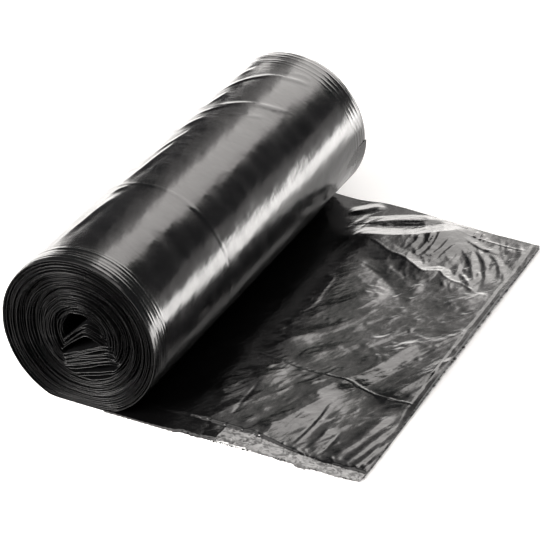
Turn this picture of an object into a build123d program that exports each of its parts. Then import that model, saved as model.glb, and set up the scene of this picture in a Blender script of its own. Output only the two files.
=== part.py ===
from build123d import *
import os

# A coreless roll of bin bags. One long band of folded film is wound on itself, lies on its
# side, and has the loose end of its last bag pulled out flat along the floor.
# Millimetres, +Z up. The roll's axis runs along Y and the loose end runs along +X.
# The origin is on the floor, under the roll's axis, halfway along the roll.

# Wound roll
roll_length = 254.0       # width of the folded band
roll_radius = 46.0
axis_height = 42.0        # less than the radius: the soft roll sags flat on the floor

# Hollow along the heart of the roll, where the first turns were drawn off their mandrel
hollow_radius = 13.2
hollow_offset = (1.2, -1.0)     # from the roll's axis, sideways and up
hollow_left_foot = 202.0        # degrees round the hollow where the fallen turns begin
hollow_right_foot = 16.0        # degrees round the hollow where they end
fold_peak = (1.3, 7.4)          # top of the fallen turns, from the hollow's centre
fold_left_sag = 2.3             # how far the left slope dips below a straight line
fold_right_sag = 0.8            # the same for the right slope

# Closed pleat under the fallen turns
pleat_length = 13.0
pleat_width = 1.6
pleat_lean = 72.0               # degrees from the floor
pleat_offset = (4.6, -6.0)      # from the roll's axis

# Spiral channel in each end, between the loose groups of turns
channel_gap = 4.3               # film left between the hollow and the channel
channel_inner_radius = hollow_radius + channel_gap
channel_pitch = 2.8
channel_turns = 7
channel_width = 0.7
channel_depth = 4.0

# Loose end of the band, a flat stack of plies
tail_reach = 161.0              # from under the axis to the torn end's near corner
tail_end_skew = 5.0             # how much shorter the far corner is
tail_near_taper = 1.5           # each long edge draws in towards the torn end
tail_far_taper = 4.0
lower_plies_height = 0.6
upper_plies_height = 0.6
upper_plies_inset = 14.0        # the upper plies stop short of the near edge
upper_plies_setback = 3.0       # and a little short of the torn end

half_length = roll_length / 2
hollow_centre = Vector(hollow_offset[0], axis_height + hollow_offset[1])


def on_hollow(angle):
    """A point of the hollow's round wall, at an angle in degrees."""
    return hollow_centre + Vector(hollow_radius, 0).rotate(Axis.Z, angle)


def sagging_arc(start, end, sag):
    """An arc between two points that dips below their straight line."""
    along = (end - start).normalized()
    below = Vector(along.Y, -along.X) if along.X > 0 else Vector(-along.Y, along.X)
    return ThreePointArc(start, (start + end) / 2 + below * sag, end)


def channel_wall(radius):
    """One side of the spiral channel: half circles that grow as they go round."""
    for turn in range(channel_turns):
        upper_radius = radius + turn * channel_pitch
        lower_radius = upper_radius + channel_pitch / 2
        CenterArc((0, axis_height), upper_radius, 0, 180)
        CenterArc((channel_pitch / 2, axis_height), lower_radius, 180, 180)


with BuildPart() as bag_roll:
    # The wound turns, flat where they rest, with the hollow and its pleat right through
    with BuildSketch(Plane.XZ):
        with Locations((0, axis_height)):
            Circle(roll_radius)
        Rectangle(
            2 * roll_radius,
            roll_radius,
            align=(Align.CENTER, Align.MAX),
            mode=Mode.SUBTRACT,
        )
        with BuildLine():
            left_foot = on_hollow(hollow_left_foot)
            right_foot = on_hollow(hollow_right_foot)
            peak = hollow_centre + Vector(*fold_peak)
            roof_middle = on_hollow((hollow_left_foot + hollow_right_foot) / 2)
            ThreePointArc(left_foot, roof_middle, right_foot)
            sagging_arc(peak, right_foot, fold_right_sag)
            sagging_arc(left_foot, peak, fold_left_sag)
        make_face(mode=Mode.SUBTRACT)
        with Locations((pleat_offset[0], axis_height + pleat_offset[1])):
            SlotOverall(pleat_length, pleat_width, rotation=pleat_lean, mode=Mode.SUBTRACT)
    extrude(amount=half_length, both=True)

    # The spiral channel, cut into both ends
    for end_plane in (Plane.XZ.offset(half_length), Plane.XZ.offset(-half_length)):
        into_roll = -channel_depth if end_plane.origin.Y < 0 else channel_depth
        channel_outer_radius = channel_inner_radius + channel_turns * channel_pitch
        with BuildSketch(end_plane):
            with BuildLine():
                channel_wall(channel_inner_radius)
                channel_wall(channel_inner_radius + channel_width)
                for first_radius in (channel_inner_radius, channel_outer_radius):
                    Line(
                        (first_radius, axis_height),
                        (first_radius + channel_width, axis_height),
                    )
            make_face()
        extrude(amount=into_roll, mode=Mode.SUBTRACT)

    # The loose end: the lower plies reach the edges, the upper ones stop short of them
    with BuildSketch(Plane.XY):
        with BuildLine():
            Polyline(
                (0, -half_length),
                (tail_reach, -half_length + tail_near_taper),
                (tail_reach - tail_end_skew, half_length - tail_far_taper),
                (0, half_length),
                close=True,
            )
        make_face()
    extrude(amount=lower_plies_height)
    with BuildSketch(Plane.XY.offset(lower_plies_height)):
        with BuildLine():
            upper_reach = tail_reach - upper_plies_setback
            Polyline(
                (0, -half_length + upper_plies_inset),
                (upper_reach, -half_length + tail_near_taper + upper_plies_inset),
                (upper_reach - tail_end_skew, half_length - tail_far_taper),
                (0, half_length),
                close=True,
            )
        make_face()
    extrude(amount=upper_plies_height)

os.makedirs("parts", exist_ok=True)
bag_roll.part.label = "bag_roll"
export_step(bag_roll.part, "parts/bag_roll.step")
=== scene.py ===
import math
import random
import bpy
import numpy as np
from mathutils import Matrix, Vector, noise


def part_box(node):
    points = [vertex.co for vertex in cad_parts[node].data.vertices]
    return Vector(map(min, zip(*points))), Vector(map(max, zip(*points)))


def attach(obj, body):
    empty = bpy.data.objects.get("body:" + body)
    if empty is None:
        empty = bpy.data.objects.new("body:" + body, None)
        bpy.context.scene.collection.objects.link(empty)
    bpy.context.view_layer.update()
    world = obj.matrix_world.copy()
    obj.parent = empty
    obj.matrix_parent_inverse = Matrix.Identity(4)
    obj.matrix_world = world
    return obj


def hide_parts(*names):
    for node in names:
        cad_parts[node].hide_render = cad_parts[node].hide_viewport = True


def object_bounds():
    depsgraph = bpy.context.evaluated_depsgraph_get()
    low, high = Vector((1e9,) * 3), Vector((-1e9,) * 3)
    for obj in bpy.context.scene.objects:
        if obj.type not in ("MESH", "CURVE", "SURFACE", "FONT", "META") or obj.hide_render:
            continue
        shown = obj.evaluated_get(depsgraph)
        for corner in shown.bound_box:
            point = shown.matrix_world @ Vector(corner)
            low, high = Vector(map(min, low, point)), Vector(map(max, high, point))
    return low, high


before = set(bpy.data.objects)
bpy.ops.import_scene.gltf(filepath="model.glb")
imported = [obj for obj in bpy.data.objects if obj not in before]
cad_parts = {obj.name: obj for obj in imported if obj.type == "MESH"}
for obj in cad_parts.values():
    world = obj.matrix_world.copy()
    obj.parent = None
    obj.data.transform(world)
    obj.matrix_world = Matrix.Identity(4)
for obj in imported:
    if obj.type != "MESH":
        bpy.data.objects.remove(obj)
cad_low, cad_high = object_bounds()
roll_low, roll_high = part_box("bag_roll")


# ---------------------------------------------------------------------------------------
# The studio. The roll lies on a broad white floor under a large overhead light. A tall
# soft light stands behind it, and the film mirrors that light as a long pale band.

model_middle = (cad_low + cad_high) / 2
camera_azimuth = math.radians(26.79)
camera_elevation = math.radians(32.30)
camera_distance = 1.641
camera_aim = model_middle + Vector((-0.0050, -0.0107, -0.0115))
camera_lens = 202.4
camera_back = Vector((
    math.sin(camera_azimuth) * math.cos(camera_elevation),
    -math.cos(camera_azimuth) * math.cos(camera_elevation),
    math.sin(camera_elevation),
))
camera_data = bpy.data.cameras.new("studio_camera")
camera_data.lens = camera_lens
camera_data.sensor_width = 36.0
camera = bpy.data.objects.new("studio_camera", camera_data)
camera.location = camera_aim + camera_back * camera_distance
camera.rotation_mode = "QUATERNION"
camera.rotation_quaternion = (-camera_back).to_track_quat("-Z", "Y")
bpy.context.collection.objects.link(camera)
bpy.context.scene.camera = camera
bpy.context.scene.view_settings.view_transform = "Standard"


def soft_light(name, middle, towards, size, radiance):
    """A rectangular soft light of a given brightness, aimed at a point and unseen itself."""
    data = bpy.data.lights.new(name, "AREA")
    data.shape = "RECTANGLE"
    data.size, data.size_y = size
    data.energy = radiance * math.pi * size[0] * size[1]
    data.color = (1.0, 0.968, 0.94)
    lamp = bpy.data.objects.new(name, data)
    lamp.location = middle
    lamp.rotation_mode = "QUATERNION"
    lamp.rotation_quaternion = (Vector(towards) - Vector(middle)).to_track_quat("-Z", "Y")
    lamp.visible_camera = False
    bpy.context.collection.objects.link(lamp)


soft_light("overhead_light", (0.0, -1.0, 3.0), (0.0, -1.0, 0.0), (4.0, 3.0), 2.0)

# The tall light behind fades out to its left, in upright strips
behind = 1.60
strip_foot, strip_top = 0.22, 2.50
left_edge = -1.00
strips = ((-0.80, 0.35), (-0.66, 0.75), (-0.57, 1.0), (-0.48, 1.3), (-0.40, 3.4), (0.50, 5.0))
for number, (right_edge, radiance) in enumerate(strips):
    middle = Vector(((left_edge + right_edge) / 2, behind, (strip_foot + strip_top) / 2))
    soft_light(
        f"back_light_{number}",
        middle,
        middle - Vector((0.0, 1.0, 0.0)),
        (right_edge - left_edge, strip_top - strip_foot),
        radiance,
    )
    left_edge = right_edge

# Low on the left of it a white screen brightens film that slopes away from the front, and
# dimmer low screens further out soften the edges of the roll's dark bands
soft_light("rear_screen", (-0.65, 1.5, 0.27), (-0.2, 0.0, 0.27), (0.62, 0.54), 3.6)
soft_light("left_screen_low", (-1.45, 1.35, 0.165), (0.0, 0.0, 0.165), (0.70, 0.17), 3.0)
soft_light("left_screen_high", (-1.45, 1.35, 0.335), (0.0, 0.0, 0.335), (0.70, 0.17), 1.1)
soft_light("right_screen", (1.10, 1.30, 0.27), (0.0, 0.0, 0.27), (0.50, 0.40), 0.9)

# A light that stands at the front left picks out the cut edges of the film
soft_light("side_light", (-1.005, -1.24, 0.52), (0.0, -0.127, 0.52), (1.06, 1.0), 58.0)

world = bpy.data.worlds.new("dim_room")
world.use_nodes = True
room_glow = world.node_tree.nodes["Background"]
room_glow.inputs["Color"].default_value = (0.96, 0.97, 1.0, 1.0)
room_glow.inputs["Strength"].default_value = 0.11
bpy.context.scene.world = world


def add_node(tree, kind, inputs=(), **settings):
    """Adds a node, sets its choices, and feeds its inputs with values or other outputs."""
    node = tree.nodes.new(kind)
    for name, value in settings.items():
        setattr(node, name, value)
    for place, value in dict(inputs).items():
        if isinstance(value, bpy.types.NodeSocket):
            tree.links.new(value, node.inputs[place])
        else:
            node.inputs[place].default_value = value
    return node


def worked_out(tree, operation, *values):
    """The output of one Math node."""
    return add_node(tree, "ShaderNodeMath", enumerate(values), operation=operation).outputs[0]


def vector_math(tree, operation, *values):
    """A Vector Math node, which may give a vector or a number."""
    return add_node(tree, "ShaderNodeVectorMath", enumerate(values), operation=operation)


def stepped(tree, value, start, end, low, high):
    """A smooth step from low to high as a value goes from start to end."""
    return add_node(
        tree,
        "ShaderNodeMapRange",
        {0: value, 1: start, 2: end, 3: low, 4: high},
        interpolation_type="SMOOTHSTEP",
    ).outputs[0]


floor_half = 30.0
floor_mesh = bpy.data.meshes.new("floor")
floor_corners = [
    (x * floor_half, y * floor_half, roll_low.z) for x, y in ((-1, -1), (1, -1), (1, 1), (-1, 1))
]
floor_mesh.from_pydata(floor_corners, [], [(0, 1, 2, 3)])
floor = bpy.data.objects.new("floor", floor_mesh)
bpy.context.collection.objects.link(floor)
floor_paint_and_painted_light = bpy.data.materials.new("floor_paint_and_painted_light")
floor_paint_and_painted_light.use_nodes = True
floor_tree = floor_paint_and_painted_light.node_tree
floor_shader = floor_tree.nodes["Principled BSDF"]
floor_shader.inputs["Base Color"].default_value = (0.88, 0.88, 0.88, 1.0)
floor_shader.inputs["Roughness"].default_value = 0.9
floor_shader.inputs["Specular IOR Level"].default_value = 0.0
floor_shader.inputs["Emission Color"].default_value = (1.0, 0.975, 0.955, 1.0)

# The floor's glow is painted light, not a lamp: it glows a little, strongly past the torn end, and
# more far behind
floor_place = add_node(floor_tree, "ShaderNodeTexCoord").outputs["Object"]
floor_sides = add_node(floor_tree, "ShaderNodeSeparateXYZ", {0: floor_place})
painted_light_past_torn_end = stepped(floor_tree, floor_sides.outputs["X"], 0.178, 0.196, 0.0, 8.0)
painted_light_behind = stepped(floor_tree, floor_sides.outputs["Y"], 0.15, 0.60, 0.25, 2.4)
floor_painted_light = worked_out(floor_tree, "ADD", painted_light_past_torn_end, painted_light_behind)
floor_tree.links.new(floor_painted_light, floor_shader.inputs["Emission Strength"])
floor_mesh.materials.append(floor_paint_and_painted_light)


# ---------------------------------------------------------------------------------------
# The wound turns. The folded band was wound on a mandrel that was then drawn out, so the
# turns lie in loose groups, and the innermost ones have fallen into a tent. Only their cut
# edges show, at the two ends of the roll.

# Rounded, as the frame's numbers are in single precision
roll_radius = round(-roll_low.x, 6)
pressed_flat = 0.004         # how far its own weight has flattened the roll
roll_axis_height = round(roll_low.z + roll_radius - pressed_flat, 6)
roll_length = roll_high.y - roll_low.y
skin_thickness = 0.0005
wound_count = 46
steps_each_turn = 118


def between(tree, low, high, share):
    """low + (high - low) * share."""
    span = worked_out(tree, "SUBTRACT", high, low)
    return worked_out(tree, "MULTIPLY_ADD", span, share, low)


def group_input(tree, name, kind, value):
    """A named input of a node group, with its starting value."""
    socket = tree.interface.new_socket(name, in_out="INPUT", socket_type=kind)
    if value is not None:
        socket.default_value = value
    return socket


def film_crinkle_group():
    """Fine crinkle of thin film, stretched one way: a height, and a share of dull patches."""
    tree = bpy.data.node_groups.new("film_crinkle", "ShaderNodeTree")
    group_input(tree, "Place", "NodeSocketVector", None)
    group_input(tree, "Crease Size", "NodeSocketFloat", 0.006)
    group_input(tree, "Grain Size", "NodeSocketFloat", 0.0012)
    group_input(tree, "Grain Share", "NodeSocketFloat", 0.25)
    tree.interface.new_socket("Height", in_out="OUTPUT", socket_type="NodeSocketFloat")
    tree.interface.new_socket("Dullness", in_out="OUTPUT", socket_type="NodeSocketFloat")
    given = tree.nodes.new("NodeGroupInput").outputs
    taken = tree.nodes.new("NodeGroupOutput").inputs
    crease_scale = worked_out(tree, "DIVIDE", 1.0, given["Crease Size"])
    grain_scale = worked_out(tree, "DIVIDE", 1.0, given["Grain Size"])
    creases = add_node(
        tree,
        "ShaderNodeTexNoise",
        {"Vector": given["Place"], "Scale": crease_scale, "Detail": 3.0, "Distortion": 0.4},
    )
    grain = add_node(
        tree, "ShaderNodeTexNoise", {"Vector": given["Place"], "Scale": grain_scale, "Detail": 2.0}
    )
    dull = add_node(
        tree,
        "ShaderNodeTexNoise",
        {"Vector": given["Place"], "Scale": worked_out(tree, "MULTIPLY", crease_scale, 0.3)},
    )
    height = worked_out(
        tree, "MULTIPLY_ADD", grain.outputs[0], given["Grain Share"], creases.outputs[0]
    )
    tree.links.new(height, taken["Height"])
    tree.links.new(dull.outputs[0], taken["Dullness"])
    return tree


film_crinkle = film_crinkle_group()


def film_material(name, place, stretch, turn, crease_size, grain_size, depth, roughness):
    """Black polyethylene film, with crinkles along its own surface."""
    material = bpy.data.materials.new(name)
    material.use_nodes = True
    tree = material.node_tree
    shader = tree.nodes["Principled BSDF"]
    shader.inputs["Base Color"].default_value = (0.0015, 0.0015, 0.0016, 1.0)
    shader.inputs["IOR"].default_value = 1.52
    if place == "UV":
        where = add_node(tree, "ShaderNodeUVMap", uv_map="film").outputs[0]
    else:
        where = add_node(tree, "ShaderNodeTexCoord").outputs["Object"]
    turned = add_node(
        tree,
        "ShaderNodeMapping",
        {"Vector": where, "Rotation": (0.0, 0.0, turn), "Scale": (stretch, 1.0, 1.0)},
        vector_type="TEXTURE",
    )
    crinkle = add_node(tree, "ShaderNodeGroup", node_tree=film_crinkle)
    tree.links.new(turned.outputs[0], crinkle.inputs["Place"])
    crinkle.inputs["Crease Size"].default_value = crease_size
    crinkle.inputs["Grain Size"].default_value = grain_size
    bump = add_node(
        tree,
        "ShaderNodeBump",
        {"Height": crinkle.outputs["Height"], "Distance": depth, "Strength": 1.0},
    )
    tree.links.new(bump.outputs[0], shader.inputs["Normal"])
    dulled = add_node(
        tree,
        "ShaderNodeMapRange",
        {0: crinkle.outputs["Dullness"], 1: 0.3, 2: 0.7, 3: roughness[0], 4: roughness[1]},
    )
    tree.links.new(dulled.outputs[0], shader.inputs["Roughness"])
    return material


ply_edge_film = film_material(
    "ply_edge_film", "Object", 1.0, 0.0, 0.004, 0.0008, 0.00004, (0.20, 0.32)
)
ply_edge_film.node_tree.nodes["Principled BSDF"].inputs["Specular IOR Level"].default_value = 0.11


def made_real(tree, geometry, film, output):
    """Ends a geometry tree: instances become real mesh, made of the given film."""
    real = add_node(tree, "GeometryNodeRealizeInstances", {"Geometry": geometry}).outputs[0]
    finished = add_node(
        tree, "GeometryNodeSetMaterial", {"Geometry": real, "Material": film}
    ).outputs[0]
    tree.links.new(finished, output)
    return tree


def wound_turns_tree():
    """A spiral of film between the hollow and the skin, flat below and fallen in the middle."""
    tree = bpy.data.node_groups.new("wound_turns", "GeometryNodeTree")
    tree.interface.new_socket("Geometry", in_out="OUTPUT", socket_type="NodeSocketGeometry")
    group_input(tree, "Turns", "NodeSocketFloat", 46.0)
    group_input(tree, "Steps", "NodeSocketInt", 5400)
    group_input(tree, "Roll Length", "NodeSocketFloat", 0.254)
    group_input(tree, "Ply Thickness", "NodeSocketFloat", 0.00034)
    group_input(tree, "Outer Radius", "NodeSocketFloat", 0.0452)
    group_input(tree, "Axis Height", "NodeSocketFloat", 0.042)
    group_input(tree, "Hollow Radius", "NodeSocketFloat", 0.0118)
    group_input(tree, "Hollow Height", "NodeSocketFloat", 0.0428)
    group_input(tree, "Hollow Shift", "NodeSocketFloat", 0.0008)
    group_input(tree, "Peak Roundness", "NodeSocketFloat", 0.0020)
    group_input(tree, "Fallen Turns", "NodeSocketFloat", 18.0)
    group_input(tree, "Edge Tilt", "NodeSocketFloat", 0.60)
    group_input(tree, "Group Turns", "NodeSocketFloat", 5.3)
    group_input(tree, "Grouping", "NodeSocketFloat", 0.00036)
    group_input(tree, "Looseness", "NodeSocketFloat", 0.0020)
    group_input(tree, "Sinking", "NodeSocketFloat", 0.0045)
    group_input(tree, "Seed", "NodeSocketFloat", 3.0)
    group_input(tree, "Film", "NodeSocketMaterial", None)
    given = tree.nodes.new("NodeGroupInput").outputs
    taken = tree.nodes.new("NodeGroupOutput").inputs

    path = add_node(tree, "GeometryNodeCurvePrimitiveLine").outputs[0]
    points = add_node(
        tree, "GeometryNodeResampleCurve", {"Curve": path, "Count": given["Steps"]}
    ).outputs[0]
    share = add_node(tree, "GeometryNodeSplineParameter").outputs["Factor"]
    turn = worked_out(tree, "MULTIPLY", share, given["Turns"])
    angle = worked_out(tree, "MULTIPLY", turn, 2.0 * math.pi)
    across, upward = worked_out(tree, "COSINE", angle), worked_out(tree, "SINE", angle)
    room = worked_out(tree, "SUBTRACT", 1.0, share)

    def drifting(pace, shift, detail=1.0):
        """Smooth noise from -1 to 1 that changes slowly round the roll and from turn to turn."""
        where = add_node(
            tree,
            "ShaderNodeCombineXYZ",
            {"X": across, "Y": upward, "Z": worked_out(tree, "MULTIPLY", turn, pace)},
        ).outputs[0]
        seed = worked_out(tree, "ADD", given["Seed"], shift)
        found = add_node(
            tree,
            "ShaderNodeTexNoise",
            {"Vector": where, "W": seed, "Scale": 0.9, "Detail": detail},
            noise_dimensions="4D",
        ).outputs[0]
        return worked_out(tree, "MULTIPLY_ADD", found, 4.0, -2.0)

    # Loose and tight places drift from turn to turn, and turns draw together in groups
    loose = worked_out(tree, "MULTIPLY", given["Looseness"], drifting(0.30, 0.0))
    loose = worked_out(tree, "MULTIPLY", loose, worked_out(tree, "MULTIPLY", 0.5, room))
    phase = worked_out(tree, "DIVIDE", angle, given["Group Turns"])
    phase = worked_out(tree, "MULTIPLY_ADD", drifting(0.12, 7.0), 2.4, phase)
    grouped = worked_out(tree, "MULTIPLY", worked_out(tree, "SINE", phase), given["Grouping"])
    grouped = worked_out(tree, "MULTIPLY", grouped, stepped(tree, share, 0.74, 0.86, 1.0, 0.25))
    radius = between(tree, given["Hollow Radius"], given["Outer Radius"], share)
    radius = worked_out(tree, "ADD", worked_out(tree, "ADD", radius, loose), grouped)

    # Each turn is round about a centre that settles towards the axis
    shift = worked_out(tree, "MULTIPLY", given["Hollow Shift"], room)
    x = worked_out(tree, "MULTIPLY_ADD", radius, across, shift)
    centre = between(tree, given["Hollow Height"], given["Axis Height"], share)
    z = worked_out(tree, "MULTIPLY_ADD", radius, upward, centre)

    # It lies flat on the turns below it
    flat_height = worked_out(tree, "MULTIPLY_ADD", room, 0.020, 0.0008)
    z = worked_out(tree, "SMOOTH_MAX", z, flat_height, 0.006)

    # The innermost turns have fallen in two heaps: seven lean together in a tent, and the
    # rest are pushed up on its right, with a slot between
    tent_start, tent_end, fallen_end = 0.245, 0.257, 0.625
    fallen = worked_out(tree, "DIVIDE", turn, given["Fallen Turns"])
    curve_share = worked_out(tree, "MULTIPLY", fallen, fallen_end)

    def read_off(values):
        """A value that changes along the fallen turns, in straight steps."""
        node = add_node(tree, "ShaderNodeFloatCurve", {"Value": curve_share})
        line = node.mapping.curves[0]
        line.points[0].location = (0.0, values[0])
        line.points[1].location = (1.0, values[4])
        for spot in zip((tent_start, tent_end, fallen_end), values[1:4]):
            line.points.new(*spot)
        for point in line.points:
            point.handle_type = "VECTOR"
        node.mapping.update()
        return node.outputs[0]

    peak = worked_out(tree, "MULTIPLY", read_off((0.84, 0.71, 0.685, 0.50, 0.0)), 0.060)
    peak = worked_out(tree, "MULTIPLY_ADD", drifting(0.9, 3.0, 3.0), 0.0008, peak)
    shift = worked_out(tree, "MULTIPLY", read_off((0.12, 0.12, 0.55, 0.60, 0.60)), 0.030)
    wobble = worked_out(tree, "MULTIPLY", drifting(1.3, 5.0, 2.0), 0.0018)
    aside = worked_out(tree, "ADD", worked_out(tree, "SUBTRACT", x, shift), wobble)
    left_slope = worked_out(tree, "MULTIPLY", read_off((0.60, 0.50, 0.27, 0.20, 0.20)), 2.0)
    right_slope = read_off((0.50, 0.50, 0.20, 0.12, 0.12))
    slope = stepped(tree, aside, -0.0012, 0.0012, left_slope, right_slope)
    round_square = worked_out(tree, "POWER", given["Peak Roundness"], 2.0)
    drop = worked_out(tree, "SQRT", worked_out(tree, "MULTIPLY_ADD", aside, aside, round_square))
    drop = worked_out(tree, "SUBTRACT", drop, given["Peak Roundness"])
    tent = worked_out(tree, "SUBTRACT", peak, worked_out(tree, "MULTIPLY", slope, drop))
    z = worked_out(tree, "SMOOTH_MAX", z, tent, 0.0010)

    place = add_node(tree, "ShaderNodeCombineXYZ", {"X": x, "Z": z}).outputs[0]
    marked = points
    drift = drifting(2.1, 11.0, 2.0)
    for name, value in (("share", share), ("sideways", across), ("drift", drift)):
        marked = add_node(
            tree,
            "GeometryNodeStoreNamedAttribute",
            {"Geometry": marked, "Name": name, "Value": value},
            data_type="FLOAT",
            domain="POINT",
        ).outputs[0]
    marked = add_node(
        tree,
        "GeometryNodeStoreNamedAttribute",
        {"Geometry": marked, "Name": "middle", "Value": place},
        data_type="FLOAT_VECTOR",
        domain="POINT",
    ).outputs[0]
    spiral = add_node(
        tree, "GeometryNodeSetPosition", {"Geometry": marked, "Position": place}
    ).outputs[0]

    # The band's own section: as wide as the roll is long, one folded ply thick
    section = add_node(
        tree,
        "GeometryNodeCurvePrimitiveQuadrilateral",
        {"Width": given["Roll Length"], "Height": given["Ply Thickness"]},
    ).outputs[0]
    rounded = add_node(
        tree,
        "GeometryNodeFilletCurve",
        {
            "Curve": section,
            "Count": 2,
            "Radius": worked_out(tree, "MULTIPLY", given["Ply Thickness"], 0.45),
        },
        mode="POLY",
    )
    band = add_node(
        tree,
        "GeometryNodeCurveToMesh",
        {"Curve": spiral, "Profile Curve": rounded.outputs[0], "Fill Caps": True},
    ).outputs[0]

    # At both ends some groups of turns stand sunk, most of all at the sides of the roll
    def read(name, kind="FLOAT"):
        return add_node(
            tree, "GeometryNodeInputNamedAttribute", {"Name": name}, data_type=kind
        ).outputs[0]

    sunk_groups = add_node(tree, "ShaderNodeFloatCurve", {"Value": read("share")})
    profile = sunk_groups.mapping.curves[0]
    profile.points[0].location = (0.0, 0.55)
    profile.points[1].location = (1.0, 0.02)
    for spot in (
        (0.12, 0.62), (0.19, 0.22), (0.33, 0.30), (0.40, 0.90), (0.55, 0.95),
        (0.585, 0.12), (0.62, 0.80), (0.73, 0.85), (0.76, 0.05), (0.88, 0.07),
    ):
        profile.points.new(*spot)
    sunk_groups.mapping.update()
    sideways = worked_out(tree, "POWER", read("sideways"), 2.0)
    sideways = worked_out(tree, "MULTIPLY_ADD", sideways, 0.6, 0.4)
    sunk = worked_out(tree, "MULTIPLY", sunk_groups.outputs[0], sideways)
    sunk = worked_out(tree, "MULTIPLY_ADD", read("drift"), 0.10, sunk)

    # Here and there a turn or two stands back between its neighbours, which draws fine lines
    turns_between_lines = 2.6
    pace = worked_out(tree, "MULTIPLY", read("share"), given["Turns"])
    pace = worked_out(tree, "MULTIPLY", pace, 2.0 * math.pi / turns_between_lines)
    pace = worked_out(tree, "MULTIPLY_ADD", read("drift"), 1.6, pace)
    standing_back = worked_out(tree, "MAXIMUM", worked_out(tree, "SINE", pace), 0.0)
    sunk = worked_out(tree, "MULTIPLY_ADD", standing_back, 0.38, sunk)
    sunk = worked_out(tree, "MULTIPLY", worked_out(tree, "MAXIMUM", sunk, 0.0), given["Sinking"])
    here = add_node(tree, "GeometryNodeInputPosition").outputs[0]

    # Each cut edge slopes in a little towards the axis
    middle = read("middle", "FLOAT_VECTOR")
    axis = add_node(tree, "ShaderNodeCombineXYZ", {"Z": given["Axis Height"]}).outputs[0]
    outward = vector_math(tree, "SUBTRACT", middle, axis)
    outward = vector_math(tree, "NORMALIZE", outward.outputs[0])
    from_middle = vector_math(tree, "SUBTRACT", here, middle)
    offset = vector_math(tree, "DOT_PRODUCT", from_middle.outputs[0], outward.outputs[0])
    offset = offset.outputs["Value"]
    offset = worked_out(
        tree, "SUBTRACT", worked_out(tree, "MULTIPLY", given["Ply Thickness"], 0.5), offset
    )
    sunk = worked_out(tree, "MULTIPLY_ADD", offset, given["Edge Tilt"], sunk)
    along = add_node(tree, "ShaderNodeSeparateXYZ", {"Vector": here}).outputs["Y"]
    inward = worked_out(tree, "MULTIPLY", worked_out(tree, "SIGN", along), -1.0)
    moved = add_node(
        tree, "ShaderNodeCombineXYZ", {"Y": worked_out(tree, "MULTIPLY", sunk, inward)}
    ).outputs[0]
    uneven = add_node(
        tree, "GeometryNodeSetPosition", {"Geometry": band, "Offset": moved}
    ).outputs[0]

    return made_real(tree, uneven, given["Film"], taken[0])


def grown(name, tree, values):
    """Runs a geometry tree with its named inputs set, and keeps the result as a plain mesh."""
    holder = bpy.data.objects.new(name, bpy.data.meshes.new(name))
    bpy.context.collection.objects.link(holder)
    modifier = holder.modifiers.new("grow", "NODES")
    modifier.node_group = tree
    sockets = {item.name: item.identifier for item in tree.interface.items_tree}
    for input_name, value in values.items():
        modifier[sockets[input_name]] = value
    bpy.context.view_layer.update()
    graph = bpy.context.evaluated_depsgraph_get()
    mesh = bpy.data.meshes.new_from_object(holder.evaluated_get(graph))
    holder.modifiers.remove(modifier)
    holder.data = mesh
    mesh.name = name
    return holder


wound_turns = grown(
    "wound_turns",
    wound_turns_tree(),
    {
        "Turns": float(wound_count),
        "Steps": wound_count * steps_each_turn + 1,
        "Roll Length": roll_length - 0.0004,
        "Axis Height": roll_axis_height,
        "Film": ply_edge_film,
    },
)
wound_turns.data.shade_smooth()
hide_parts("bag_roll")
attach(wound_turns, "root")


# ---------------------------------------------------------------------------------------
# The outer turn. The last whole turn of the band is stretched smoothly over the roll. Its
# folded edges stand in fine rings near both ends, and slack film wrinkles along its top.

end_zone = 0.018


def creased(place, path, height, width, lean=0.0, taper=0.5, flat_sided=False):
    """Height of one crease at each place: a ridge along a path, steeper on one side."""
    knots = np.array(path, float)
    ahead = np.vstack([2 * knots[0] - knots[1], knots, 2 * knots[-1] - knots[-2]])
    line = []
    for before, start, end, after in zip(ahead, ahead[1:], ahead[2:], ahead[3:]):
        for t in np.linspace(0.0, 1.0, 5, endpoint=False):
            line.append(0.5 * (
                2 * start
                + (end - before) * t
                + (2 * before - 5 * start + 4 * end - after) * t ** 2
                + (3 * start - before - 3 * end + after) * t ** 3
            ))
    line = np.array(line + [knots[-1]])
    margin = 3.0 * width * (1.0 + abs(lean))
    near = np.all((place > line.min(0) - margin) & (place < line.max(0) + margin), axis=1)
    close_places = place[near]
    nearest = np.full(len(close_places), np.inf)
    side = np.zeros(len(close_places))
    reached = np.zeros(len(close_places))
    lengths = np.linalg.norm(np.diff(line, axis=0), axis=1)
    walked = np.concatenate([[0.0], np.cumsum(lengths)])
    for start, end, length, before in zip(line, line[1:], lengths, walked):
        along = (end - start) / length
        offset = close_places - start
        share = np.clip(offset @ along, 0.0, length)
        gap = offset - share[:, None] * along
        distance = np.hypot(gap[:, 0], gap[:, 1])
        closer = distance < nearest
        nearest = np.where(closer, distance, nearest)
        side = np.where(closer, np.sign(along[0] * gap[:, 1] - along[1] * gap[:, 0]), side)
        reached = np.where(closer, (before + share) / walked[-1], reached)
    spread = width * np.where(side > 0, 1.0 + lean, 1.0 - lean)
    ends = np.clip(np.minimum(reached, 1.0 - reached) / max(taper, 1e-6), 0.0, 1.0)
    fade = ends * ends * (3.0 - 2.0 * ends)
    away = nearest / spread
    if flat_sided:
        section = np.maximum(1.04 - np.sqrt(away ** 2 + 0.04 ** 2), 0.0)
    else:
        section = np.exp(-away ** 2)
    result = np.zeros(len(place))
    result[near] = height * fade * section
    return result


def rippled(place, size, stretch, turn, seed, layers=3):
    """Smooth random height between -1 and 1 at each place, drawn out along one direction."""
    cosine, sine = math.cos(turn), math.sin(turn)
    along = (place[:, 0] * cosine + place[:, 1] * sine) / (size * stretch)
    over = (-place[:, 0] * sine + place[:, 1] * cosine) / size
    return np.array([noise.fractal((a, b, seed), 1.0, 2.0, layers) for a, b in zip(along, over)])


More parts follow.
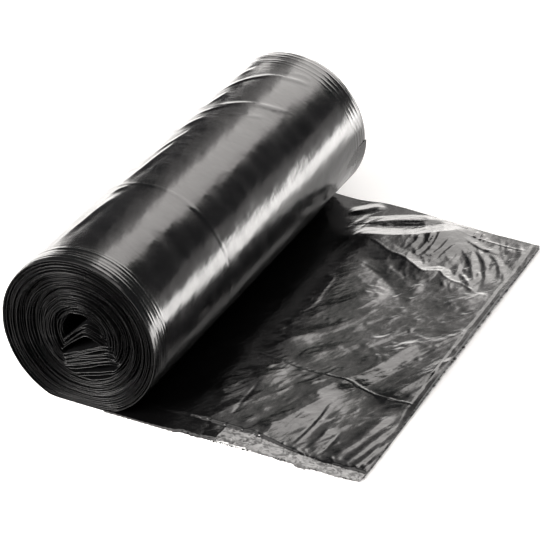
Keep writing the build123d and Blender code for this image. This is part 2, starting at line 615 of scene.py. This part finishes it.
def smooth_step(value, start, end):
    """0 before start, 1 past end, and smooth between."""
    share = np.clip((value - start) / (end - start), 0.0, 1.0)
    return share * share * (3.0 - 2.0 * share)


def zipped(first, second):
    """Triangles between two rows of corners that may have different counts."""
    faces = []
    i = j = 0
    while i < len(first) - 1 or j < len(second) - 1:
        first_next = (i + 1) / max(len(first) - 1, 1)
        second_next = (j + 1) / max(len(second) - 1, 1)
        if j == len(second) - 1 or (i < len(first) - 1 and first_next <= second_next):
            faces.append((first[i], first[i + 1], second[j]))
            i += 1
        else:
            faces.append((first[i], second[j + 1], second[j]))
            j += 1
    return faces


def film_object(name, corners, faces, flat_place, material):
    """A mesh of film with a map of its flat place, in metres, for its crinkles to follow."""
    mesh = bpy.data.meshes.new(name)
    mesh.from_pydata(corners.tolist(), [], faces)
    flat_map = mesh.uv_layers.new(name="film")
    loop_corner = np.zeros(len(mesh.loops), dtype=np.int32)
    mesh.loops.foreach_get("vertex_index", loop_corner)
    flat_map.data.foreach_set("uv", flat_place[loop_corner].astype(np.float32).ravel())
    mesh.materials.append(material)
    mesh.validate()
    mesh.shade_smooth()
    mesh.set_sharp_from_angle(angle=math.radians(50))
    piece = bpy.data.objects.new(name, mesh)
    bpy.context.collection.objects.link(piece)
    return piece


wound_film = film_material("wound_film", "UV", 2.2, 0.0, 0.0028, 0.0007, 0.00006, (0.14, 0.24))

# Finer steps on the sides and top than underneath
skin_angles = np.radians(np.concatenate([
    np.linspace(-25.0, 145.0, 215, endpoint=False),
    np.linspace(145.0, 335.0, 92, endpoint=False),
]))
skin_steps_round = len(skin_angles)
half = roll_length / 2
skin_rows = np.concatenate([
    np.linspace(-half, -half + end_zone, 44, endpoint=False),
    np.linspace(-half + end_zone, half - end_zone, 184, endpoint=False),
    np.linspace(half - end_zone, half, 44),
])
angle_grid, row_grid = np.meshgrid(skin_angles, skin_rows)
skin_place = np.stack([angle_grid.ravel() * roll_radius, row_grid.ravel()], axis=1) * 1000.0


def round_the_roll(degrees):
    """Distance round the skin, in millimetres, of an angle from the loose end's side."""
    return math.radians(degrees) * roll_radius * 1000.0


def on_skin(path):
    """A path given as angles and places along the roll, in millimetres on the flat film."""
    return [(round_the_roll(angle), y) for angle, y in path]


half_mm = half * 1000.0
lift = np.zeros(len(skin_place))

# Folded edges of the turns beneath, close to both ends
draw = random.Random(5)
end_rings = (
    (-1, ((1.9, 0.13), (4.4, 0.18), (6.3, 0.12), (8.9, 0.09), (11.6, 0.16), (13.4, 0.09))),
    (1, ((2.4, 0.10), (5.6, 0.14), (8.2, 0.09), (12.6, 0.11), (15.2, 0.07))),
)
for end, rings in end_rings:
    for inset, height in rings:
        drift = draw.uniform(0.0, 6.28)
        ring = [
            (a, end * (half_mm - inset - 0.7 * math.sin(a * 0.035 + drift)))
            for a in range(-60, 341, 25)
        ]
        lift += creased(skin_place, on_skin(ring), height, 0.62, lean=0.35 * end, taper=0.12)

# The seam between two bags, and slanted pulls in the film
seam = [(a, -43.0 - 1.2 * math.cos(math.radians(a))) for a in range(-60, 341, 25)]
lift += creased(skin_place, on_skin(seam), 0.17, 0.75, lean=0.5, taper=0.1)
slanted_pulls = (
    (0.36, 1.5, ((119, 41), (106, 48), (92, 56), (76, 62), (60, 67))),
    (0.28, 1.3, ((112, 50), (98, 55), (84, 61), (70, 66), (58, 71))),
    (0.18, 1.4, ((92, 43), (80, 48), (68, 54))),
    (0.38, 1.5, ((119, 73), (108, 84), (92, 93), (76, 98), (60, 103))),
    (0.15, 1.4, ((84, 101), (74, 106), (64, 107))),
)
for height, width, path in slanted_pulls:
    lift += creased(skin_place, on_skin(path), height, width, lean=-0.3, taper=0.2)

# Slack film lies in long slanted wrinkles along the back of the top
top_wrinkles = (
    (0.62, 2.3, ((121, -118), (117, -92), (112, -70), (106, -50))),
    (0.45, 2.0, ((119, -84), (114, -66), (109, -52))),
    (0.50, 1.8, ((119, -53), (113, -48), (106, -44))),
    (0.62, 2.2, ((120, -46), (114, -28), (110, -6), (105, 18))),
    (0.48, 1.9, ((119, -8), (114, 4), (109, 14), (105, 26))),
    (0.50, 2.0, ((120, 22), (112, 32), (103, 41))),
    (0.38, 1.8, ((118, 52), (112, 64), (107, 74))),
    (0.36, 1.7, ((118, 92), (112, 100), (108, 106))),
)
for height, width, path in top_wrinkles:
    lift += creased(skin_place, on_skin(path), height, width, lean=0.35, taper=0.45)

# Low waves along the roll, and a faint unevenness all over
lift += 0.20 * rippled(skin_place, 15.0, 4.5, math.radians(84), 4.0, 2)
lift += 0.13 * rippled(skin_place, 26.0, 2.0, 0.0, 8.0, 2)
lift += 0.045 * rippled(skin_place, 5.0, 2.6, math.radians(70), 9.0, 3)

# The ends curl in, a little more at the far end, where the film is wound less tightly
from_near = row_grid.ravel() * 1000.0 + half_mm
from_far = half_mm - row_grid.ravel() * 1000.0
lift -= 0.7 * np.exp(-from_near / 1.6)
lift -= 0.9 * np.exp(-from_far / 2.5) + 0.9 * smooth_step(-from_far, -60.0, 0.0)

reach = roll_radius + lift / 1000.0
skin_x = reach * np.cos(angle_grid.ravel())
skin_z = roll_axis_height + reach * np.sin(angle_grid.ravel())
rest_edge = 0.0012
skin_z = np.where(skin_z > rest_edge, skin_z, rest_edge * np.exp((skin_z - rest_edge) / rest_edge))
skin_corners = np.stack([skin_x, row_grid.ravel(), skin_z], axis=1)

# The inner face of the skin needs only a few rows
inner_rows = np.array([-half, -half + 0.004, half - 0.004, half])
inner_reach = roll_radius - skin_thickness
end_curls = (0.0007, 0.0, 0.0009, 0.0018)
inner_corners = np.array([
    (
        (inner_reach - curl) * math.cos(a),
        y,
        max(roll_axis_height + (inner_reach - curl) * math.sin(a), skin_thickness),
    )
    for y, curl in zip(inner_rows, end_curls)
    for a in skin_angles
])
outer_count = len(skin_corners)


def round_faces(first_row, second_row):
    """Faces between two closed rings of corners, given the number of each ring's first one."""
    n = skin_steps_round
    return [
        (first_row + i, first_row + (i + 1) % n, second_row + (i + 1) % n, second_row + i)
        for i in range(n)
    ]


outer_starts = [r * skin_steps_round for r in range(len(skin_rows))]
inner_starts = [outer_count + r * skin_steps_round for r in range(len(inner_rows))]
skin_faces = []
for first, second in zip(outer_starts, outer_starts[1:]):
    skin_faces += round_faces(first, second)
for first, second in zip(inner_starts, inner_starts[1:]):
    skin_faces += round_faces(second, first)
skin_faces += round_faces(inner_starts[0], outer_starts[0])
skin_faces += round_faces(outer_starts[-1], inner_starts[-1])
flat_place = np.vstack([
    skin_place / 1000.0,
    np.array([(a * roll_radius, y) for y in inner_rows for a in skin_angles]),
])
outer_turn = film_object(
    "outer_turn", np.vstack([skin_corners, inner_corners]), skin_faces, flat_place, wound_film
)
outer_turn.data.materials.append(ply_edge_film)
for face in outer_turn.data.polygons[-2 * skin_steps_round:]:
    face.material_index = 1
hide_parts("bag_roll")
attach(outer_turn, "root")


# ---------------------------------------------------------------------------------------
# The loose end. The last bag is pulled out across the floor. It is eight plies of thin
# film, folded over on itself, creased from its folding and crumpled along its edges.

loose_film = film_material("loose_film", "UV", 2.6, 1.0, 0.0022, 0.0007, 0.00014, (0.11, 0.20))
tail_root = 14.0             # these are in millimetres, like every place on the loose end
tail_reach = roll_high.x * 1000.0
tail_skew = 5.0
ply_stack = 0.9
ragged_from = 57.5
one_ply_from = 79.0
hem_depth = 14.0
torn_edge = 157.6
tail_columns_at = np.concatenate([
    np.linspace(0.0, 0.30, 30, endpoint=False),
    np.linspace(0.30, 1.0, 196),
])
tail_lines_at = np.concatenate([
    np.linspace(0.0, 0.095, 48, endpoint=False),
    np.linspace(0.095, 0.285, 60, endpoint=False),
    np.linspace(0.285, 0.335, 36, endpoint=False),
    np.linspace(0.335, 0.86, 168, endpoint=False),
    np.linspace(0.86, 1.0, 66),
])
tail_columns, tail_lines = len(tail_columns_at), len(tail_lines_at)


draw = random.Random(23)
tear_starts = np.cumsum([ragged_from + 0.5] + [draw.uniform(1.2, 6.0) for _ in range(30)])
tear_depths = np.array([0.0] + [draw.uniform(-0.7, 0.9) for _ in range(30)])


def tail_edges(along):
    """The near edge and the far edge of the loose end, in millimetres."""
    torn = tear_depths[np.searchsorted(tear_starts, along)]
    torn_back = (along > ragged_from) & (along < one_ply_from)
    stray_tab = (along > 125.5) & (along < 131.5)
    torn = torn + 1.6 * torn_back - 1.7 * stray_tab
    reach = round(tail_reach)
    near = -half_mm - 0.9 + 1.5 * along / reach + torn + 0.25 * np.sin(along * 1.9)
    far = half_mm - 4.0 * along / reach - 0.8 * np.sin(along * 0.045) ** 2
    return near, far


across_share, along_share = np.meshgrid(tail_lines_at, tail_columns_at)
across_share, along_share = across_share.ravel(), along_share.ravel()
tail_x = tail_root + (tail_reach - tail_skew * across_share - tail_root) * along_share
tail_near, tail_far = tail_edges(tail_x)
tail_place = np.column_stack([tail_x, tail_near + (tail_far - tail_near) * across_share])

rise = np.zeros(len(tail_place))

# The crease where the band was folded lengthways
straight_crease = ((62, -45), (90, -48.5), (118, -48.5), (124, -49.5), (142, -53), (159, -52))
rise += creased(tail_place, straight_crease, 0.22, 0.66, lean=0.1, taper=0.05)

# Wide low swells
swells = (
    (0.8, 8.0, -0.4, ((62, -38), (74, -26), (88, -16))),
    (0.5, 11.0, -0.2, ((76, 12), (92, 26), (106, 36))),
    (0.7, 8.0, -0.3, ((66, -78), (80, -66), (92, -60))),
    (0.9, 9.0, 0.2, ((128, 30), (140, 48), (150, 66))),
)
for height, width, lean, path in swells:
    rise += creased(tail_place, path, height, width, lean=lean, taper=0.5)

# Folds that run slantwise across the film, towards the torn end
slanted_folds = (
    (0.45, 3.4, ((139, -6), (148, 8), (156, 24))),
    (0.55, 5.0, ((82, -46), (94, -30), (106, -14), (116, 2))),
    (0.45, 4.4, ((62, -104), (70, -84), (82, -66), (92, -58))),
    (0.45, 4.2, ((66, -118), (76, -94), (90, -76), (104, -64))),
    (0.45, 3.4, ((120, -104), (130, -88), (140, -76), (150, -68))),
    (0.45, 3.2, ((126, -114), (136, -98), (146, -82), (155, -72))),
    (0.40, 3.8, ((64, -66), (74, -54), (86, -46))),
    (0.35, 3.6, ((96, -36), (108, -18), (122, 2))),
    (0.50, 4.2, ((64, -40), (76, -22), (90, -4), (100, 14))),
)
for height, width, path in slanted_folds:
    rise += creased(tail_place, path, height, width, lean=0.2, taper=0.3)

# The broadest of them have flat sides
broad_folds = (
    (1.25, 10.5, 0.15, ((98, -86), (112, -55), (124, -36), (131, -14), (144, 14))),
    (0.80, 5.5, 0.15, ((140, -60), (149, -37), (156, -19), (162, 2))),
    (0.85, 9.0, -0.1, ((97, -118), (103, -97), (110, -78), (118, -58))),
    (0.60, 6.0, 0.1, ((58, -94), (66, -78), (76, -62), (88, -50))),
)
for height, width, lean, path in broad_folds:
    rise += creased(tail_place, path, height, width, lean=lean, taper=0.25, flat_sided=True)

# Broad facets of film by the far edge, each with a steep near side
far_facets = (
    (3.0, 17.0, -0.24, ((46, 80), (62, 85), (76, 89.5), (90, 97), (104, 109), (117, 128))),
    (1.30, 6.0, 0.25, ((50, 95), (62, 101.5), (77, 111), (90, 118), (104, 130))),
    (1.0, 5.0, 0.30, ((42, 108), (50, 113), (62, 122))),
    (0.35, 1.9, 0.10, ((50, 88), (53, 98), (57, 112))),
    (0.35, 1.6, 0.10, ((57, 90), (60, 100), (65, 112))),
    (0.30, 1.9, 0.20, ((54, 62), (56, 72), (59, 84), (62, 92))),
)
from_far_edge = tail_far - tail_place[:, 1]
far_fade = smooth_step(from_far_edge, -2.0, 5.0)
for height, width, lean, path in far_facets:
    rise += far_fade * creased(
        tail_place, path, height, width, lean=lean, taper=0.3, flat_sided=True
    )

# An edge of film that lies over the rest like a pillow, and a fold with a valley behind it
pillow_edge = (
    (64, 84), (74, 81.5), (84, 77), (92, 76), (100, 72), (108, 68), (113, 70),
    (117, 72), (121, 68.5), (127, 66), (134, 65), (146, 59),
)
rise += creased(tail_place, pillow_edge, 1.25, 8.0, lean=-0.25, taper=0.5, flat_sided=True)
rise += creased(tail_place, pillow_edge, 0.16, 0.6, taper=0.1)
valley = ((68, 63.5), (82, 57.5), (96, 49), (105, 40.5), (115, 27))
rise -= creased(tail_place, valley, 0.75, 9.5, lean=-0.1, taper=0.35, flat_sided=True)
rise += creased(tail_place, ((66, 63.5), (80, 60.5), (92, 55)), 0.10, 0.6)

# Fine creases that fan out from the pillow to the far edge
far_creases = (
    (0.26, 1.2, 0.4, ((91, 104), (93, 92), (90, 79))),
    (0.30, 1.3, 0.4, ((97, 108), (99, 92), (95, 77))),
    (0.32, 1.4, 0.4, ((101, 112), (103, 94), (100, 76))),
    (0.30, 1.4, 0.4, ((109, 110), (108, 94), (104, 78))),
    (0.28, 1.5, 0.4, ((116, 108), (112, 94), (110, 80))),
    (0.45, 2.6, 0.4, ((114, 104), (126, 92), (135, 76), (139, 62))),
    (0.45, 2.4, 0.4, ((122, 106), (134, 94), (142, 78), (146, 64))),
    (0.35, 2.2, 0.4, ((132, 105), (143, 94), (151, 78))),
    (0.35, 1.4, 0.0, ((128, 76), (134, 70), (139, 63))),
    (0.35, 1.8, 0.4, ((112, 112), (126, 106), (142, 104))),
    (0.15, 0.6, 0.4, ((104, 114.6), (130, 114.2), (158, 113))),
    (0.50, 0.9, 0.0, ((119, 122), (120, 113))),
    (0.50, 0.9, 0.0, ((123, 122), (124, 112))),
    (0.30, 0.8, 0.0, ((126, 119), (126, 112))),
    (0.14, 1.4, 0.0, ((66, 50), (67, 28), (68, 8), (62, -3))),
)
for height, width, lean, path in far_creases:
    rise += creased(tail_place, path, height, width, lean=lean, taper=0.35)

# Pleats across the near side, and a fan of deep folds at the near corner
near_pleats = (
    (-0.14, 0.9, 0.0, ((77, -60), (77, -88), (78, -112))),
    (0.26, 1.4, -0.3, ((119, -66), (119.5, -92), (117, -116))),
    (-0.22, 0.8, 0.0, ((117.2, -66), (117.7, -92), (115.2, -116))),
    (-0.28, 1.2, 0.4, ((134, -88), (133, -104), (131, -116))),
    (0.40, 1.8, 0.3, ((126, -86), (127, -98), (124, -112))),
    (0.95, 3.6, -0.1, ((158, -54), (150, -67), (147, -86), (141, -108), (136, -125))),
    (0.80, 2.6, -0.1, ((160, -66), (154, -84), (150, -104), (144, -124))),
    (0.70, 2.1, -0.1, ((161, -82), (157, -98), (154, -112), (149, -126))),
    (0.55, 1.7, -0.1, ((161, -98), (159, -112), (156, -126))),
)
for height, width, lean, path in near_pleats:
    rise += creased(tail_place, path, height, width, lean=lean, taper=0.35)

# Short crinkles: slantwise near the torn end, level in the middle, upright by the pillow,
# and last a few long ones that lie slantwise over them
draw = random.Random(11)
crinkled_places = (
    (240, (88, 158), (-60, 62), (40, 72), (6, 24), (0.03, 0.09)),
    (230, (62, 150), (-26, 62), (-14, 40), (4, 12), (0.03, 0.085)),
    (190, (82, 156), (58, 116), (76, 128), (6, 20), (0.04, 0.13)),
    (230, (60, 152), (-112, -44), (38, 84), (6, 24), (0.03, 0.10)),
    (60, (58, 112), (58, 122), (20, 62), (6, 20), (0.03, 0.08)),
    (150, (62, 158), (-127, -112), (-25, 70), (2, 8), (0.06, 0.15)),
    (36, (84, 154), (-104, 40), (50, 66), (22, 54), (0.09, 0.16)),
)
for count, across_x, across_y, headings, lengths, steepness in crinkled_places:
    for _ in range(count):
        heading = math.radians(draw.uniform(*headings))
        reach_out = draw.uniform(*lengths) / 2
        middle = np.array([draw.uniform(*across_x), draw.uniform(*across_y)])
        step = reach_out * np.array([math.cos(heading), math.sin(heading)])
        bend = draw.uniform(-0.3, 0.3) * np.array([-step[1], step[0]])
        width = 0.7 + 1.9 * draw.random() ** 2
        rise += creased(
            tail_place,
            (middle - step, middle + bend, middle + step),
            draw.uniform(*steepness) * width,
            width,
            lean=draw.uniform(-0.5, 0.1),
            taper=0.5,
        )

# Broad slopes: the film rises as it leaves the roll, sinks towards the near and far corners,
# and rises a little towards the torn end
near_part = 1.0 - smooth_step(tail_place[:, 1], -62.0, -42.0)
far_part = smooth_step(tail_place[:, 1], 56.0, 92.0)
middle_part = smooth_step(tail_place[:, 1], -45.0, -20.0) * (1.0 - far_part)
rise += (1.5 + 1.0 * near_part + 0.6 * far_part) * smooth_step(tail_x, 40.0, 63.0)
rise -= 2.6 * near_part * smooth_step(tail_x, 82.0, 138.0)
rise -= 1.0 * far_part * smooth_step(tail_x, 84.0, 132.0)
rise += 0.9 * middle_part * smooth_step(tail_x, 100.0, 170.0)
rise += 0.9 * smooth_step(tail_x, 134.0, 166.0)

# Soft unevenness, least where the film lies flat under the roll's flank
calm = 0.10 + 0.90 * smooth_step(tail_x, 58.0, 92.0)
rise += calm * 0.34 * rippled(tail_place, 18.0, 2.6, 0.95, 6.0, 2)
rise += calm * 0.10 * rippled(tail_place, 5.5, 2.6, 0.9, 2.0, 4)

# The upper plies stop short of the near edge and of the torn end, and the lower ones curl up
hem_at = -half_mm + hem_depth - 4.0 * smooth_step(tail_x, 84.0, 140.0)
hem_at += 0.7 * rippled(tail_place * (1.0, 0.0), 7.0, 1.0, 0.0, 5.0, 2)
from_hem = tail_place[:, 1] - hem_at
above_hem = 0.5 + 0.5 * np.tanh(from_hem / 0.35)
end_gap = torn_edge - tail_skew * (tail_place[:, 1] + half_mm) / (2 * half_mm) - tail_x
end_gap += 1.1 * rippled(tail_place * (0.0, 1.0), 16.0, 1.0, 0.0, 7.0, 2)
above_torn = 0.5 + 0.5 * np.tanh(end_gap / 0.35)
curl = 1.2 * smooth_step(-from_hem, 0.0, 15.0) * smooth_step(tail_x, 70.0, 84.0)
curl += 0.15 * smooth_step(-end_gap, 0.5, 3.5)
rise = (rise + 0.35) * (0.50 + 0.50 * above_hem) * (0.89 + 0.11 * above_torn) + curl

top_z = np.maximum(ply_stack + rise, 0.30) / 1000.0
tail_top = np.column_stack([tail_place / 1000.0, top_z])
under_lines = np.linspace(0, tail_lines - 1, 14).astype(int)
under_picks = (np.arange(tail_columns)[:, None] * tail_lines + under_lines).ravel()
film_depth = np.where((across_share == 0.0) & (tail_x > one_ply_from), 0.0004, 0.0026)
under_z = np.maximum(top_z[under_picks] - film_depth[under_picks], 0.0)
tail_under = np.column_stack([tail_place[under_picks] / 1000.0, under_z])
top_count = len(tail_top)
under_count = len(under_lines)
tail_faces = []
for c in range(tail_columns - 1):
    for r in range(tail_lines - 1):
        corner = c * tail_lines + r
        tail_faces.append((corner, corner + tail_lines, corner + tail_lines + 1, corner + 1))
    for r in range(under_count - 1):
        corner = top_count + c * under_count + r
        tail_faces.append((corner, corner + 1, corner + under_count + 1, corner + under_count))
for r, under in ((0, 0), (tail_lines - 1, under_count - 1)):
    for c in range(tail_columns - 1):
        side = (
            c * tail_lines + r,
            (c + 1) * tail_lines + r,
            top_count + (c + 1) * under_count + under,
            top_count + c * under_count + under,
        )
        tail_faces.append(side[::-1] if r == 0 else side)
for c in (0, tail_columns - 1):
    above = [c * tail_lines + r for r in range(tail_lines)]
    below = [top_count + c * under_count + r for r in range(under_count)]
    strip = zipped(above, below)
    tail_faces += [face[::-1] for face in strip] if c else strip
tail_flat = np.vstack([tail_place / 1000.0, tail_under[:, :2]])
loose_end = film_object(
    "loose_end", np.vstack([tail_top, tail_under]), tail_faces, tail_flat, loose_film
)

# Past the hem only one thin ply is left. Its colour has lighter grey patches of painted light,
# where the pale floor shows through it
thin_film_with_painted_light = film_material("thin_film_with_painted_light", "UV", 2.0, 0.25, 0.0028, 0.0008, 0.00020, (0.16, 0.28))
thin_tree = thin_film_with_painted_light.node_tree
thin_place = add_node(thin_tree, "ShaderNodeUVMap", uv_map="film").outputs[0]
painted_light_patches = add_node(
    thin_tree,
    "ShaderNodeTexNoise",
    {"Vector": thin_place, "Scale": 240.0, "Detail": 6.0, "Distortion": 1.5},
).outputs[0]
thin_painted_light = add_node(
    thin_tree,
    "ShaderNodeMix",
    {
        "Factor": stepped(thin_tree, painted_light_patches, 0.38, 0.62, 0.0, 1.0),
        6: (0.03, 0.03, 0.03, 1.0),
        7: (0.17, 0.17, 0.17, 1.0),
    },
    data_type="RGBA",
).outputs[2]
thin_tree.links.new(thin_painted_light, thin_tree.nodes["Principled BSDF"].inputs["Base Color"])
loose_end.data.materials.append(thin_film_with_painted_light)
past_hem = ((from_hem < -1.1) & (tail_x > one_ply_from)).reshape(tail_columns, tail_lines)
slots_by_face = np.zeros(len(loose_end.data.polygons), dtype=np.int32)
for c, r in zip(*np.nonzero(past_hem[:-1, :-1])):
    slots_by_face[c * (tail_lines - 1 + under_count - 1) + r] = 1
loose_end.data.polygons.foreach_set("material_index", slots_by_face)
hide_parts("bag_roll")
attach(loose_end, "root")


# ---------------------------------------------------------------------------------------
# The torn teeth. The band is perforated between bags, and tearing leaves small uneven
# points of film along the torn end and along the ragged near edge.

def torn_teeth_tree():
    """Small flat points of film in a row from one place to another."""
    tree = bpy.data.node_groups.new("torn_teeth", "GeometryNodeTree")
    tree.interface.new_socket("Geometry", in_out="OUTPUT", socket_type="NodeSocketGeometry")
    group_input(tree, "Start", "NodeSocketVector", None)
    group_input(tree, "End", "NodeSocketVector", None)
    group_input(tree, "Count", "NodeSocketInt", 80)
    group_input(tree, "Tooth Length", "NodeSocketFloat", 0.0012)
    group_input(tree, "Tooth Width", "NodeSocketFloat", 0.0010)
    group_input(tree, "Facing", "NodeSocketFloat", 0.0)
    group_input(tree, "Seed", "NodeSocketInt", 1)
    group_input(tree, "Film", "NodeSocketMaterial", None)
    given = tree.nodes.new("NodeGroupInput").outputs
    taken = tree.nodes.new("NodeGroupOutput").inputs
    line = add_node(
        tree, "GeometryNodeCurvePrimitiveLine", {"Start": given["Start"], "End": given["End"]}
    ).outputs[0]
    points = add_node(
        tree, "GeometryNodeResampleCurve", {"Curve": line, "Count": given["Count"]}
    ).outputs[0]
    tooth = add_node(
        tree,
        "GeometryNodeMeshCone",
        {
            "Vertices": 4,
            "Radius Top": 0.0001,
            "Radius Bottom": worked_out(tree, "MULTIPLY", given["Tooth Width"], 0.5),
            "Depth": given["Tooth Length"],
        },
    ).outputs[0]
    turn = add_node(
        tree, "ShaderNodeCombineXYZ", {"X": math.pi / 2, "Z": given["Facing"]}
    ).outputs[0]
    askew = add_node(
        tree,
        "FunctionNodeRandomValue",
        {0: (-0.25, -0.3, -0.6), 1: (0.1, 0.3, 0.6), "Seed": given["Seed"]},
        data_type="FLOAT_VECTOR",
    ).outputs[0]
    turned = vector_math(tree, "ADD", turn, askew).outputs[0]
    sizes = add_node(
        tree,
        "FunctionNodeRandomValue",
        {0: (0.6, 0.22, 0.2), 1: (1.5, 0.30, 1.2), "Seed": given["Seed"]},
        data_type="FLOAT_VECTOR",
    ).outputs[0]
    teeth = add_node(
        tree,
        "GeometryNodeInstanceOnPoints",
        {"Points": points, "Instance": tooth, "Rotation": turned, "Scale": sizes},
    ).outputs[0]
    return made_real(tree, teeth, given["Film"], taken[0])


torn_teeth = torn_teeth_tree()
inner_at, outer_at, outer_end = 0.058, 0.080, 0.157
row_places = np.array([inner_at, outer_at, outer_end - 0.001]) * 1000.0
near_at = (tail_edges(row_places)[0] + 0.2) / 1000.0
tail_far_corner = (tail_reach - tail_skew) / 1000.0
teeth_rows = (
    ("hem_teeth_inner", (inner_at, near_at[0], 0.0006), (outer_at, near_at[1], 0.0010), 15, 0.0),
    ("hem_teeth_outer", (outer_at, near_at[1], 0.0016), (outer_end, near_at[2], 0.0019), 62, 0.0),
    (
        "torn_end_teeth",
        (tail_reach / 1000.0 - 0.0004, -0.124, 0.0013),
        (tail_far_corner - 0.0004, 0.121, 0.0013),
        190,
        math.pi / 2,
    ),
)
tooth_length, tooth_width = 0.0014, 0.0013
for number, (name, start, end, count, facing) in enumerate(teeth_rows):
    row = grown(
        name,
        torn_teeth,
        {
            "Start": start,
            "End": end,
            "Count": count,
            "Tooth Length": tooth_length,
            "Tooth Width": tooth_width,
            "Facing": facing,
            "Seed": number + 3,
            "Film": loose_film,
        },
    )
    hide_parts("bag_roll")
    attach(row, "root")
